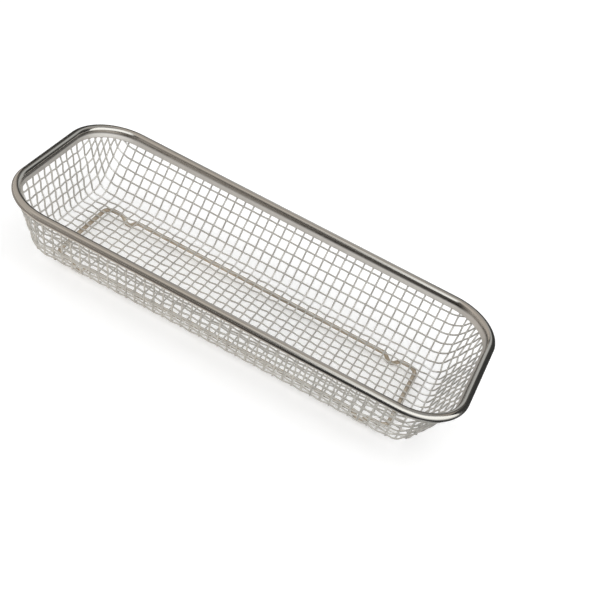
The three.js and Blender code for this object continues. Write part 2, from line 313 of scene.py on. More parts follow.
def makeRimSteel():
    finish = {
        "Streaks Along": 6.0,
        "Streaks Across": 500.0,
        "Bright": (0.66, 0.63, 0.595, 1.0),
        "Dull": (0.61, 0.58, 0.545, 1.0),
        "Smooth": 0.10,
        "Rough": 0.19,
    }
    material, tree, shader, streaks = newSteel("rimSteel", finish, 1.0, 0.000002)
    band = addNode(tree, "ShaderNodeUVMap", uv_map="band")
    link(tree, band, "UV", streaks, "Coordinates")
    # the lips kept the dull skin of the strip, the roll was polished
    lip = attribute(tree, "lip")["Fac"]
    metal = addNode(tree, "ShaderNodeMapRange", {"To Min": 1.0, "To Max": 0.55})
    rough = addNode(tree, "ShaderNodeMix", {numberB: 0.42}, data_type="FLOAT")
    feed(tree, lip, metal, "Value")
    link(tree, metal, "Result", shader, "Metallic")
    feed(tree, lip, rough, "Factor")
    link(tree, streaks, "Roughness", rough, numberA)
    link(tree, rough, numberMixed, shader, "Roughness")
    # painted shade darkens the crease between the roll and the inner lip
    creaseShadeColour = (0.10, 0.095, 0.09, 1.0)
    paintedShade = addNode(tree, "ShaderNodeMix", {colourB: creaseShadeColour}, data_type="RGBA")
    feed(tree, attribute(tree, "crease")["Fac"], paintedShade, "Factor")
    link(tree, streaks, "Colour", paintedShade, colourA)
    link(tree, paintedShade, colourMixed, shader, "Base Color")
    return material


def makeCoreWireSteel():
    finish = {
        "Streaks Along": 200.0,
        "Streaks Across": 1800.0,
        "Bright": (0.52, 0.52, 0.53, 1.0),
        "Dull": (0.38, 0.38, 0.39, 1.0),
        "Smooth": 0.35,
        "Rough": 0.55,
    }
    material, tree, shader, streaks = newSteel("coreWireSteel", finish, 1.0, 0.00004)
    place = addNode(tree, "ShaderNodeTexCoord")
    link(tree, place, "Object", streaks, "Coordinates")
    return material


def makeFrameRodSteel():
    finish = {
        "Streaks Along": 40.0,
        "Streaks Across": 1400.0,
        "Bright": (0.71, 0.635, 0.53, 1.0),
        "Dull": (0.58, 0.505, 0.41, 1.0),
        "Smooth": 0.17,
        "Rough": 0.30,
    }
    material, tree, shader, streaks = newSteel("frameRodSteel", finish, 0.45, 0.00005)
    feed(tree, wireCoordinates(tree), streaks, "Coordinates")
    # straw patches that the welding left
    place = addNode(tree, "ShaderNodeTexCoord")
    tint = addNode(tree, "ShaderNodeGroup", {
        "Straw": (0.42, 0.31, 0.20, 1.0),
        "Patch Scale": 70.0,
        "Amount": 0.4,
    }, node_tree=heatTint)
    link(tree, place, "Object", tint, "Coordinates")
    link(tree, streaks, "Colour", tint, "Steel")
    link(tree, tint, "Colour", shader, "Base Color")
    return material


def makeWeldSteel():
    material, tree, shader = newMaterial("weldSteel", {"Metallic": 1.0})
    place = addNode(tree, "ShaderNodeTexCoord")
    tint = addNode(tree, "ShaderNodeGroup", {
        "Steel": (0.50, 0.47, 0.43, 1.0),
        "Straw": (0.34, 0.25, 0.17, 1.0),
        "Patch Scale": 900.0,
        "Amount": 0.8,
    }, node_tree=heatTint)
    ripples = addNode(tree, "ShaderNodeTexNoise", {"Scale": 2600.0})
    rough = addNode(tree, "ShaderNodeMapRange", {"To Min": 0.3, "To Max": 0.55})
    bump = addNode(tree, "ShaderNodeBump", {"Strength": 0.4, "Distance": 0.0001})
    link(tree, place, "Object", tint, "Coordinates")
    link(tree, place, "Object", ripples, "Vector")
    link(tree, ripples, "Fac", rough, "Value")
    link(tree, ripples, "Fac", bump, "Height")
    link(tree, tint, "Colour", shader, "Base Color")
    link(tree, rough, "Result", shader, "Roughness")
    link(tree, bump, "Normal", shader, "Normal")
    return material


# the sheet of mesh: flat floor, bend, then a straight wall that points at the middle of the rim's roll

sheet = {
    "rimLength": 0.2794,  # over the roll
    "rimWidth": 0.1219,
    "rimCornerRadius": 0.0328,  # outside of the roll
    "rollRadius": 0.0025,
    "floorCornerRadius": 0.0092,  # edge of the flat floor, about the centres of the rim's corners
    "floorBendRadius": 0.006,
    "crossWires": 20,  # over the floor, on each side of the middle
    "longWires": 6,
    "innerLip": 0.0027,  # of the rim, below the roll
    "overRod": 0.00095,  # middle of the mesh floor over the top of the foot frame's rod
    "wireEnd": 0.0020,  # from the middle of the roll down the wall to the ends of the wires
    "topRowGap": 0.0008,  # from the inner lip down to the top row, at least
    "shearSteps": 60,  # of the search for a meeting in a corner
    "shearEase": 0.6,
}
centreX = sheet["rimLength"] / 2 - sheet["rimCornerRadius"]
centreY = sheet["rimWidth"] / 2 - sheet["rimCornerRadius"]
rollReach = sheet["rimCornerRadius"] - sheet["rollRadius"]
floorRadius = sheet["floorCornerRadius"]
bendRadius = sheet["floorBendRadius"]
floorLevel = rodTop + sheet["overRod"]
bendToRollOut = rollReach - floorRadius
bendToRollUp = rimLevel - floorLevel - bendRadius
wallAngle = math.atan2(bendToRollUp, bendToRollOut)
wallAngle += math.asin(bendRadius / math.hypot(bendToRollOut, bendToRollUp))
wallFootReach = floorRadius + bendRadius * math.sin(wallAngle)
wallFootHeight = bendRadius * (1 - math.cos(wallAngle))
crossPitch = (centreX + floorRadius) / sheet["crossWires"]
longPitch = (centreY + floorRadius) / sheet["longWires"]
slotReach = rollReach - sheet["wireEnd"] * math.cos(wallAngle)  # inside the roll, at the core wire
underLip = sheet["rollRadius"] + sheet["innerLip"] + sheet["topRowGap"]
topRowReach = rollReach - underLip * math.cos(wallAngle)


def reachAlongSheet(run):
    pastFloor = run - floorRadius
    if pastFloor <= 0:
        return run
    if pastFloor <= bendRadius * wallAngle:
        return floorRadius + bendRadius * math.sin(pastFloor / bendRadius)
    return wallFootReach + (pastFloor - bendRadius * wallAngle) * math.cos(wallAngle)


def sheetAt(x, y):
    # reach past the corner centres, the point of the sheet over x and y, and its normal to the inside
    outX = math.copysign(max(abs(x) - centreX, 0.0), x)
    outY = math.copysign(max(abs(y) - centreY, 0.0), y)
    reach = math.hypot(outX, outY)
    if reach <= floorRadius:
        height, angle = 0.0, 0.0
    elif reach <= wallFootReach:
        angle = math.asin((reach - floorRadius) / bendRadius)
        height = bendRadius * (1 - math.cos(angle))
    else:
        angle = wallAngle
        height = wallFootHeight + (reach - wallFootReach) * math.tan(wallAngle)
    lean = math.sin(angle) / reach if reach > 0 else 0.0
    point = Vector((x, y, floorLevel + height))
    normal = Vector((-lean * outX, -lean * outY, math.cos(angle)))
    return reach, point, normal


meetings = {}


def meeting(i, j):
    # cross wire i over long wire j, counted from the middle, where x and y are positive
    if (i, j) not in meetings:
        meetings[i, j] = findMeeting(i, j)
    return meetings[i, j]


def findMeeting(i, j):
    u = (i + 0.5) * crossPitch
    v = (j + 0.5) * longPitch
    if u > centreX and v > centreY:
        return stepFrom(meeting(i - 1, j), meeting(i, j - 1), meeting(i - 1, j - 1))
    x = u if u <= centreX else centreX + reachAlongSheet(u - centreX)
    y = v if v <= centreY else centreY + reachAlongSheet(v - centreY)
    return sheetAt(x, y)[1]


def stepFrom(a, b, behind):
    # in a corner the mesh can only shear, so each meeting keeps its pitch from the two before it
    x = a.x + b.x - behind.x
    y = a.y + b.y - behind.y
    for _ in range(sheet["shearSteps"]):
        _, point, normal = sheetAt(x, y)
        riseX = -normal.x / normal.z
        riseY = -normal.y / normal.z
        fromA = point - a
        fromB = point - b
        errorA = fromA.length - crossPitch
        errorB = fromB.length - longPitch
        fromA.normalize()
        fromB.normalize()
        ax = fromA.x + fromA.z * riseX
        ay = fromA.y + fromA.z * riseY
        bx = fromB.x + fromB.z * riseX
        by = fromB.y + fromB.z * riseY
        determinant = ax * by - ay * bx
        x -= sheet["shearEase"] * (errorA * by - errorB * ay) / determinant
        y -= sheet["shearEase"] * (errorB * ax - errorA * bx) / determinant
    return sheetAt(x, y)[1]


# the woven wires, laid as points on the sheet and grown to round wire that passes over and under

weave = {
    "wireDiameter": 0.0010,
    "height": 0.00031,  # each wire passes this far over and under the sheet
    "wireSides": 8,
    "pointsACell": 6,
    "endGap": 0.0001,  # least way from the last point of a wire to the one before it
    "seed": 7,
    "foldStart": 0.0060,  # stretch of painted highlight, from the corner centres out along the sheet
    "foldEnd": 0.0124,
    "foldFade": 0.0008,
    "backStripCell": 19,  # painted highlight up the walls at the back left corner, counted from the middle
    "leftStripCell": 4,
    "stripEdge": 3.0,  # how sharply a strip of painted highlight sets in
}


def halfWire(kind, index):
    # meetings from the middle of the basket to the rim, the last one lies past the rim
    crossings = []
    while not crossings or sheetAt(crossings[-1].x, crossings[-1].y)[0] <= slotReach:
        step = len(crossings)
        crossings.append(meeting(index, step) if kind == "cross" else meeting(step, index))
    return crossings


def layWire(kind, index, side):
    # points of one whole wire: reach, place, normal to the inside, lift from -1 to 1, and painted
    # highlight
    half = halfWire(kind, index)
    ownIndex = index if side > 0 else -1 - index
    flip = 1 if kind == "cross" else -1
    crossings = []
    for step in range(-len(half), len(half)):
        spot = half[step] if step >= 0 else half[-1 - step]
        way = 1 if step >= 0 else -1
        if kind == "cross":
            plan = Vector((side * spot.x, way * spot.y))
        else:
            plan = Vector((way * spot.x, side * spot.y))
        lift = flip * (1 if (ownIndex + step) % 2 == 0 else -1)
        crossings.append((plan, lift))
    laid = []
    for k, ((here, liftHere), (there, _)) in enumerate(zip(crossings, crossings[1:])):
        strip = onStrip(kind, index, side, k - len(half))
        for part in range(weave["pointsACell"]):
            share = part / weave["pointsACell"]
            plan = here.lerp(there, share)
            reach, point, normal = sheetAt(plan.x, plan.y)
            lift = liftHere * math.cos(math.pi * share)
            # painted highlight along the fold, and across the whole of a strip's cells
            paintedHighlight = foldShare(reach)
            if strip:
                paintedHighlight = min(weave["stripEdge"] * math.sin(math.pi * share), 1.0)
            laid.append((reach, point, normal, lift, paintedHighlight))
    lastPlan, lastLift = crossings[-1]
    laid.append((*sheetAt(lastPlan.x, lastPlan.y), lastLift, 0.0))
    return cutAtRim(laid)


def onStrip(kind, index, side, step):
    # in the back left corner a strip of painted highlight runs up each wall, from the fold to the rim
    if kind == "cross":
        return side < 0 and index >= sheet["crossWires"] and step == weave["leftStripCell"]
    # left of the middle the steps are negative, and the first crossing of a cell is its outer one
    cell = -2 - step
    return side > 0 and index >= sheet["longWires"] and cell == weave["backStripCell"]


def cutAtRim(laid):
    # each end of a wire is brought to the slot's reach
    inside = [k for k, station in enumerate(laid) if station[0] <= slotReach - weave["endGap"]]
    first, last = inside[0], inside[-1]
    ends = []
    for inner, outer in ((first, first - 1), (last, last + 1)):
        near, far = laid[inner], laid[outer]
        share = (slotReach - near[0]) / (far[0] - near[0])
        plan = near[1].lerp(far[1], min(share, 1.0))
        _, point, normal = sheetAt(plan.x, plan.y)
        ends.append((slotReach, point, normal, near[3], near[4]))
    return [ends[0]] + laid[first:last + 1] + [ends[1]]


def foldShare(reach):
    # how much of the fold's painted highlight a point has, by how far along the sheet it lies
    run = reach
    if reach > floorRadius:
        bendShare = min((reach - floorRadius) / bendRadius, math.sin(wallAngle))
        upWall = max(reach - wallFootReach, 0.0) / math.cos(wallAngle)
        run = floorRadius + bendRadius * math.asin(bendShare) + upWall
    rising = (run - weave["foldStart"]) / weave["foldFade"]
    falling = (weave["foldEnd"] - run) / weave["foldFade"]
    return min(max(min(rising, falling), 0.0), 1.0)


def layWires(name, wires):
    chance = random.Random(weave["seed"] + len(wires))
    mesh = bpy.data.meshes.new(name)
    points, edges, normals, lifts, tones, folds = [], [], [], [], [], []
    for kind, index, side in wires:
        laid = layWire(kind, index, side)
        start = len(points)
        tone = chance.random()
        for _, point, normal, lift, paintedHighlight in laid:
            points.append(point)
            normals.append(normal)
            lifts.append(lift)
            tones.append(tone)
            folds.append(paintedHighlight)
        edges += [(k, k + 1) for k in range(start, len(points) - 1)]
    mesh.from_pydata(points, edges, [])
    inward = mesh.attributes.new("inward", "FLOAT_VECTOR", "POINT")
    inward.data.foreach_set("vector", [c for n in normals for c in n])
    # the painted highlight of each point goes with it as an attribute
    layValues(mesh, lift=lifts, tone=tones, fold=folds)
    return mesh


def sweepRound(tree, curve, diameter, sides):
    # round wire along a curve, which carries how far along and where round it each point lies
    length = addNode(tree, "GeometryNodeSplineParameter")
    curve = storeAttribute(tree, curve, "along", "FLOAT", length.outputs["Length"])
    radius = addNode(tree, "ShaderNodeMath", {1: 0.5}, operation="MULTIPLY")
    feed(tree, diameter, radius, 0)
    circle = addNode(tree, "GeometryNodeCurvePrimitiveCircle", mode="RADIUS")
    feed(tree, sides, circle, "Resolution")
    link(tree, radius, "Value", circle, "Radius")
    place = addNode(tree, "GeometryNodeInputPosition").outputs["Position"]
    profile = storeAttribute(tree, circle.outputs["Curve"], "ring", "FLOAT_VECTOR", place)
    tube = addNode(tree, "GeometryNodeCurveToMesh", {"Fill Caps": True})
    feed(tree, curve, tube, "Curve")
    feed(tree, profile, tube, "Profile Curve")
    return tube.outputs["Mesh"]


def makeWovenWireTree():
    tree, given, result = newGeometryTree("wovenWire", {
        "Wire Diameter": "Float",
        "Weave Height": "Float",
        "Wire Sides": "Int",
        "Wire Finish": "Material",
    })
    height = addNode(tree, "ShaderNodeMath", operation="MULTIPLY")
    feed(tree, readAttribute(tree, "lift", "FLOAT"), height, 0)
    link(tree, given, "Weave Height", height, 1)
    shift = addNode(tree, "ShaderNodeVectorMath", operation="SCALE")
    feed(tree, readAttribute(tree, "inward", "FLOAT_VECTOR"), shift, 0)
    link(tree, height, "Value", shift, "Scale")
    bend = addNode(tree, "GeometryNodeSetPosition")
    link(tree, given, "Geometry", bend, "Geometry")
    link(tree, shift, "Vector", bend, "Offset")
    curve = addNode(tree, "GeometryNodeMeshToCurve")
    link(tree, bend, "Geometry", curve, "Mesh")
    diameter, sides = given.outputs["Wire Diameter"], given.outputs["Wire Sides"]
    tube = sweepRound(tree, curve.outputs["Curve"], diameter, sides)
    finishTree(tree, tube, given.outputs["Wire Finish"], result)
    return tree


def lastRow(first, pitch, centre):
    # the highest wire of a wall that stays clear of the inner lip
    row = first
    while reachAlongSheet((row + 1.5) * pitch - centre) <= topRowReach:
        row += 1
    return row


def makeMesh():
    wovenWire = makeWovenWireTree()
    sizes = {
        "Wire Diameter": weave["wireDiameter"],
        "Weave Height": weave["height"],
        "Wire Sides": weave["wireSides"],
        "Wire Finish": makeMeshWireSteel(),
    }
    firstCross, firstLong = sheet["crossWires"], sheet["longWires"]
    crossRows = range(firstCross, lastRow(firstCross, crossPitch, centreX) + 1)
    longRows = range(firstLong, lastRow(firstLong, longPitch, centreY) + 1)
    crossNames = [n for n in nodes if n.startswith("cross_wire_")]
    longNames = [n for n in nodes if n.startswith("long_wire_")]
    groups = [
        ("woven_cross_wires", "cross", range(firstCross), crossNames),
        ("woven_long_wires", "long", range(firstLong), longNames),
        ("woven_end_rows", "cross", crossRows, ["left_wall_rows", "right_wall_rows"]),
        ("woven_side_rows", "long", longRows, ["front_wall_rows", "back_wall_rows"]),
    ]
    for name, kind, indices, replaced in groups:
        wires = [(kind, index, side) for side in (-1, 1) for index in indices]
        piece = growPiece(name, layWires(name, wires), wovenWire, sizes)
        placePiece(piece, "mesh_wire", *replaced)


# the rim: a thin band rolled over the core wire, with a lip down each side of the mesh

rim = {
    "bandThickness": 0.0005,
    "slotHalf": 0.00095,
    "outerLip": 0.0008,
    "lipFillet": 0.0003,  # where the roll runs into a lip
    "creaseReach": 0.0009,  # painted shade below the roll, on the inner lip
    "creaseDepth": 0.95,
    "creaseRise": 2.0,  # how fast the painted shade sets in, from the middle of the roll down
    "shadeEased": (  # corners with less painted shade: from and to in degrees, and how much is left on the lip
        (28.0, 62.0, 0.1),
        (122.0, 150.0, 0.8),
    ),
    "shadeEasedOnRoll": 0.1,  # how much painted shade is left there on the roll
    "shadeEasedFade": 18.0,
    "backFade": (0.08, -0.08, 0.45),  # painted shade fading along the back: from and to, and how much is left at its left end
    "backFadeTurn": 30.0,  # degrees of the back left corner, over which it comes back
    "edgeRounding": 0.9,  # of half the band, at the edges of the lips
    "edgeSteps": 4,
    "filletSteps": 5,
    "rollSteps": 40,
    "cornerSteps": 36,
    "straightSteps": 24,
}


def roundCorner(before, at, after, radius, steps):
    # a fillet between two straight stretches of a section
    toBefore = (before - at).normalized()
    toAfter = (after - at).normalized()
    opening = toBefore.angle(toAfter)
    back = radius / math.tan(opening / 2)
    start = at + toBefore * back
    middle = at + (toBefore + toAfter).normalized() * (radius / math.sin(opening / 2))
    arm = start - middle
    turn = math.pi - opening
    way = 1 if toAfter.x * toBefore.y - toAfter.y * toBefore.x < 0 else -1
    points = []
    for step in range(steps + 1):
        angle = -way * turn * step / steps
        c, s = math.cos(angle), math.sin(angle)
        points.append(middle + Vector((arm.x * c - arm.y * s, arm.x * s + arm.y * c)))
    return points


def bandSection():
    # drawn upright, across and along the wall: up the outside, over the roll, down the inside, and back
    lipSide = rim["slotHalf"] + rim["bandThickness"]
    radius = sheet["rollRadius"]
    bore = radius - rim["bandThickness"]
    opening = math.asin(lipSide / radius)
    boreOpening = math.asin(rim["slotHalf"] / bore)
    outerEdge = -(radius + rim["outerLip"])
    innerEdge = -(radius + sheet["innerLip"])

    def arc(size, gap):
        points = []
        for step in range(rim["rollSteps"] + 1):
            angle = gap - math.pi / 2 + (2 * math.pi - 2 * gap) * step / rim["rollSteps"]
            points.append(Vector((size * math.cos(angle), size * math.sin(angle))))
        return points

    edgeRadius = rim["bandThickness"] / 2 * rim["edgeRounding"]

    def edge(*corner):
        before, at, after = (Vector(p) for p in corner)
        return roundCorner(before, at, after, edgeRadius, rim["edgeSteps"])

    def fillet(before, at, after):
        return roundCorner(before, at, after, rim["lipFillet"], rim["filletSteps"])

    roll = arc(radius, opening)
    slot = rim["slotHalf"]
    outline = edge((slot, outerEdge), (lipSide, outerEdge), (lipSide, 0))
    outline += fillet(Vector((lipSide, outerEdge)), roll[0], roll[2])
    outline += roll[3:-3]  # the fillets take the place of the first and the last points
    outline += fillet(roll[-3], roll[-1], Vector((-lipSide, innerEdge)))
    # an extra point on the inner lip, where the painted shade of the crease ends
    outline.append(Vector((-lipSide, roll[-1].y - rim["creaseReach"])))
    outline += edge((-lipSide, 0), (-lipSide, innerEdge), (-slot, innerEdge))
    outline += edge((-lipSide, innerEdge), (-slot, innerEdge), (-slot, 0))
    outline += arc(bore, boreOpening)[::-2]
    outline += edge((slot, 0), (slot, outerEdge), (lipSide, outerEdge))
    lipTop = roll[0].y
    lips = [1.0 if p.y < lipTop else 0.0 for p in outline]
    # painted shade in the crease: on the inner side, from the middle of the roll down onto the top of the
    # inner lip
    creases = []
    for p in outline:
        inside = p.x < 0 and p.y > lipTop - rim["creaseReach"] / 2
        rise = min(max(rim["creaseRise"] * p.y / lipTop, 0.0), 1.0)
        creases.append(rim["creaseDepth"] * rise if inside else 0.0)
    lean = math.pi / 2 - wallAngle
    c, s = math.cos(lean), math.sin(lean)
    return [Vector((p.x * c + p.y * s, p.y * c - p.x * s)) for p in outline], lips, creases


def rimStations():
    # corner centres with the way outwards, once round anticlockwise, and the distance run so far
    stations = []
    corners = [(1, 1), (-1, 1), (-1, -1), (1, -1)]
    run = 0.0
    for k, (signX, signY) in enumerate(corners):
        centre = Vector((signX * centreX, signY * centreY, rimLevel))
        nextX, nextY = corners[(k + 1) % 4]
        following = Vector((nextX * centreX, nextY * centreY, rimLevel))
        for step in range(rim["cornerSteps"]):
            angle = math.pi / 2 * (k + step / rim["cornerSteps"])
            stations.append((centre, angle, run))
            run += math.pi / 2 * rollReach / rim["cornerSteps"]
        for step in range(rim["straightSteps"]):
            share = step / rim["straightSteps"]
            stations.append((centre.lerp(following, share), math.pi / 2 * (k + 1), run))
            run += (following - centre).length / rim["straightSteps"]
    return stations, run


def creaseShadeAt(centre, angle, lip):
    # how much of the crease's painted shade is left at a station, by its place and the way outwards there
    degrees = math.degrees(angle)
    left = 1.0
    turned = (degrees - 90.0) / rim["backFadeTurn"]
    if 0.0 <= turned <= 1.0:
        start, end, leftAtEnd = rim["backFade"]
        alongBack = min(max((centre.x - start) / (end - start), 0.0), 1.0)
        left -= (1.0 - leftAtEnd) * alongBack * (1.0 - turned)
    for start, end, leftOnLip in rim["shadeEased"]:
        fromWiped = max(start - degrees, degrees - end) / rim["shadeEasedFade"]
        left = min(left, max(fromWiped, leftOnLip if lip else rim["shadeEasedOnRoll"]))
    return left


def makeRim():
    section, lips, creases = bandSection()
    stations, wholeRun = rimStations()
    rounds = [0.0]
    for here, there in zip(section, section[1:] + section[:1]):
        rounds.append(rounds[-1] + (there - here).length)
    work = bmesh.new()
    band = work.loops.layers.uv.new("band")
    rings = []
    for centre, angle, _ in stations:
        out = Vector((math.cos(angle), math.sin(angle), 0))
        ring = [centre + out * (rollReach + p.x) + Vector((0, 0, p.y)) for p in section]
        rings.append([work.verts.new(at) for at in ring])
    count = len(section)
    for k, ring in enumerate(rings):
        following = rings[(k + 1) % len(rings)]
        runHere = stations[k][2]
        runThere = stations[k + 1][2] if k + 1 < len(stations) else wholeRun
        for m in range(count):
            n = (m + 1) % count
            face = work.faces.new((ring[m], following[m], following[n], ring[n]))
            face.smooth = True
            low, high = rounds[m], rounds[m + 1]
            marks = ((runHere, low), (runThere, low), (runThere, high), (runHere, high))
            for loop, mark in zip(face.loops, marks):
                loop[band].uv = mark
    bmesh.ops.recalc_face_normals(work, faces=work.faces)
    mesh = bpy.data.meshes.new("rolled_rim")
    work.to_mesh(mesh)
    work.free()
    # the crease's painted shade at each point of the section, scaled at each station
    paintedShade = []
    for centre, angle, _ in stations:
        paintedShade += [creaseShadeAt(centre, angle, lip) * crease for lip, crease in zip(lips, creases)]
    layValues(mesh, lip=lips * len(stations), crease=paintedShade)
    mesh.materials.append(makeRimSteel())
    placePiece(addObject("rolled_rim", mesh), "rim_steel", "rim_band")


def finishCoreWire():
    core = nodes["rim_core_wire"]
    core.data.materials.clear()
    core.data.materials.append(makeCoreWireSteel())
    print("piece: rim_core_wire keeps its solid")


# the foot frame: one rod bent to a ring, with a dip near each end of its long sides for a foot

footFrame = {
    "rodDiameter": 0.0026,
    "rodSides": 20,
    "bendSteps": 9,
    "cornerRadius": 0.0055,
    "footSetback": 0.0158,  # end of the frame to the middle of a foot
    "footSlope": 47.0,  # degrees, sides of the dip
    "footFlat": 0.0015,
    "footBendRadius": 0.0016,
    "shoulderRadius": 0.003,
    "buttGap": 0.0006,  # between the first and the last point of the path, which is closed across it
}
rodRadius = footFrame["rodDiameter"] / 2
frameHalfLength = rodHigh.x - rodRadius
frameHalfWidth = rodHigh.y - rodRadius
frameLevel = rodTop - rodRadius
footDrop = frameLevel - rodRadius - rodLow.z
footSlope = math.radians(footFrame["footSlope"])
toeHalf = footFrame["footFlat"] / 2 + footFrame["footBendRadius"] * math.tan(footSlope / 2)
shoulderHalf = toeHalf + footDrop / math.tan(footSlope)
footX = frameHalfLength - footFrame["footSetback"]


def frameCorners():
    # the corners of the bent rod with their bend radii, once round from where its ends meet
    corner = footFrame["cornerRadius"]
    toe = footFrame["footBendRadius"]
    shoulder = footFrame["shoulderRadius"]
    dip = (
        (-shoulderHalf, 0, shoulder),
        (-toeHalf, footDrop, toe),
        (toeHalf, footDrop, toe),
        (shoulderHalf, 0, shoulder),
    )

    def longSide(y, heading):
        points = [((-heading * frameHalfLength, y, frameLevel), corner)]
        for middle in (-heading * footX, heading * footX):
            for shift, drop, radius in dip:
                points.append(((middle + heading * shift, y, frameLevel - drop), radius))
        points.append(((heading * frameHalfLength, y, frameLevel), corner))
        return points

    back = longSide(frameHalfWidth, -1)
    front = longSide(-frameHalfWidth, 1)
    gap = footFrame["buttGap"] / 2
    buttStart = ((-gap, frameHalfWidth, frameLevel), 0.0)
    buttEnd = ((gap, frameHalfWidth, frameLevel), 0.0)
    middle = len(back) // 2
    return [buttStart] + back[middle:] + front + back[:middle] + [buttEnd]


def makeBentRodTree():
    tree, given, result = newGeometryTree("bentRod", {
        "Rod Diameter": "Float",
        "Rod Sides": "Int",
        "Bend Steps": "Int",
        "Rod Finish": "Material",
    })
    curve = addNode(tree, "GeometryNodeMeshToCurve")
    link(tree, given, "Geometry", curve, "Mesh")
    fillet = addNode(tree, "GeometryNodeFilletCurve", mode="POLY")
    link(tree, curve, "Curve", fillet, "Curve")
    link(tree, given, "Bend Steps", fillet, "Count")
    feed(tree, readAttribute(tree, "bendRadius", "FLOAT"), fillet, "Radius")
    diameter, sides = given.outputs["Rod Diameter"], given.outputs["Rod Sides"]
    tube = sweepRound(tree, fillet.outputs["Curve"], diameter, sides)
    finishTree(tree, tube, given.outputs["Rod Finish"], result)
    return tree


def makeFootFrame():
    corners = frameCorners()
    mesh = bpy.data.meshes.new("foot_frame_path")
    count = len(corners)
    mesh.from_pydata([at for at, _ in corners], [(k, (k + 1) % count) for k in range(count)], [])
    layValues(mesh, bendRadius=[radius for _, radius in corners])
    piece = growPiece("bent_foot_frame", mesh, makeBentRodTree(), {
        "Rod Diameter": footFrame["rodDiameter"],
        "Rod Sides": footFrame["rodSides"],
        "Bend Steps": footFrame["bendSteps"],
        "Rod Finish": makeFrameRodSteel(),
    })
    placePiece(piece, "frame_rod", "foot_frame")


# spot welds where wires of the mesh cross the rod

welds = {
    "everyWire": 2,
    "width": 0.0013,
    "overRod": 0.00022,  # middle of a weld over the top of the rod
    "footClear": 0.0015,  # least way from a weld to a dip
    "leastTurn": (-0.15, -0.15, 0.0),  # radians
    "mostTurn": (0.15, 0.15, 6.283),
    "leastSpread": (0.8, 0.75, 0.6),  # of the width
    "mostSpread": (1.15, 1.0, 0.75),
    "seed": 11,
}


def weldSpots():
    spots = []
    level = rodTop + welds["overRod"]
    for i in range(0, sheet["crossWires"], welds["everyWire"]):
        x = (i + 0.5) * crossPitch
        onFoot = abs(x - footX) < shoulderHalf + welds["footClear"]
        pastCorner = x > frameHalfLength - footFrame["cornerRadius"]
        if not onFoot and not pastCorner:
            spots += [(sx * x, sy * frameHalfWidth, level) for sx in (-1, 1) for sy in (-1, 1)]
    for j in range(0, sheet["longWires"], welds["everyWire"]):
        y = (j + 0.5) * longPitch
        if y < frameHalfWidth - footFrame["cornerRadius"]:
            spots += [(sx * frameHalfLength, sy * y, level) for sx in (-1, 1) for sy in (-1, 1)]
    return spots


def makeSpotWeldTree():
    tree, given, result = newGeometryTree("spotWelds", {
        "Weld Width": "Float",
        "Seed": "Int",
        "Weld Finish": "Material",
    })

    def anyBetween(least, most):
        drawn = addNode(tree, "FunctionNodeRandomValue", data_type="FLOAT_VECTOR")
        setValues(drawn, {"Min": least, "Max": most})
        link(tree, given, "Seed", drawn, "Seed")
        return drawn

    nugget = addNode(tree, "GeometryNodeMeshIcoSphere", {"Radius": 0.5, "Subdivisions": 2})
    turn = anyBetween(welds["leastTurn"], welds["mostTurn"])
    spread = anyBetween(welds["leastSpread"], welds["mostSpread"])
    size = addNode(tree, "ShaderNodeVectorMath", operation="SCALE")
    link(tree, spread, "Value", size, 0)
    link(tree, given, "Weld Width", size, "Scale")
    points = addNode(tree, "GeometryNodeMeshToPoints")
    link(tree, given, "Geometry", points, "Mesh")
    place = addNode(tree, "GeometryNodeInstanceOnPoints")
    link(tree, points, "Points", place, "Points")
    link(tree, nugget, "Mesh", place, "Instance")
    link(tree, turn, "Value", place, "Rotation")
    link(tree, size, "Vector", place, "Scale")
    finishTree(tree, place.outputs["Instances"], given.outputs["Weld Finish"], result)
    return tree


def makeSpotWelds():
    mesh = bpy.data.meshes.new("weld_spots")
    mesh.from_pydata(weldSpots(), [], [])
    piece = growPiece("spot_welds", mesh, makeSpotWeldTree(), {
        "Weld Width": welds["width"],
        "Seed": welds["seed"],
        "Weld Finish": makeWeldSteel(),
    })
    placePiece(piece, "frame_rod")


# studio: white floor, even sky, one softbox, and cards that only the metal sees

studio = {
    "floorHalf": 4.0,
    "floorColour": (0.9, 0.9, 0.9, 1.0),
    "floorLift": 0.25,
    "skyStrength": 0.838,
    "softboxPlace": (0.22, -0.35, 1.3),
    "softboxSize": (0.9, 1.0),
    "softboxPower": 4.0,
}


def seenRays(tree):
    # 1 for what the camera, a mirror or glass sees
    path = addNode(tree, "ShaderNodeLightPath")
    cameraOrGlossy = addNode(tree, "ShaderNodeMath", operation="ADD", use_clamp=True)
    link(tree, path, "Is Camera Ray", cameraOrGlossy, 0)
    link(tree, path, "Is Glossy Ray", cameraOrGlossy, 1)
    seen = addNode(tree, "ShaderNodeMath", operation="ADD", use_clamp=True)
    link(tree, cameraOrGlossy, "Value", seen, 0)
    link(tree, path, "Is Transmission Ray", seen, 1)
    return seen.outputs["Value"]


def makeFloor():
    half = studio["floorHalf"]
    corners = [(-half, -half, 0), (half, -half, 0), (half, half, 0), (-half, half, 0)]
    mesh = bpy.data.meshes.new("floor")
    mesh.from_pydata(corners, [], [(0, 1, 2, 3)])
    material, tree, shader = newMaterial("whiteFloor", {
        "Base Color": studio["floorColour"],
        "Roughness": 0.9,
        "Specular IOR Level": 0.1,
        "Emission Color": (1.0, 1.0, 1.0, 1.0),
    })
    lift = addNode(tree, "ShaderNodeMath", {1: studio["floorLift"]}, operation="MULTIPLY")
    feed(tree, seenRays(tree), lift, 0)
    link(tree, lift, "Value", shader, "Emission Strength")
    mesh.materials.append(material)
    floor = addObject("floor", mesh)


def makeCardGlow():
    # the shade laid on the card's corners, seen as it is
    material, tree, shader = newMaterial("cardGlow", {
        "Base Color": (0.0, 0.0, 0.0, 1.0),
        "Specular IOR Level": 0.0,
        "Emission Strength": 1.0,
    })
    feed(tree, attribute(tree, "shade")["Color"], shader, "Emission Color")
    return material


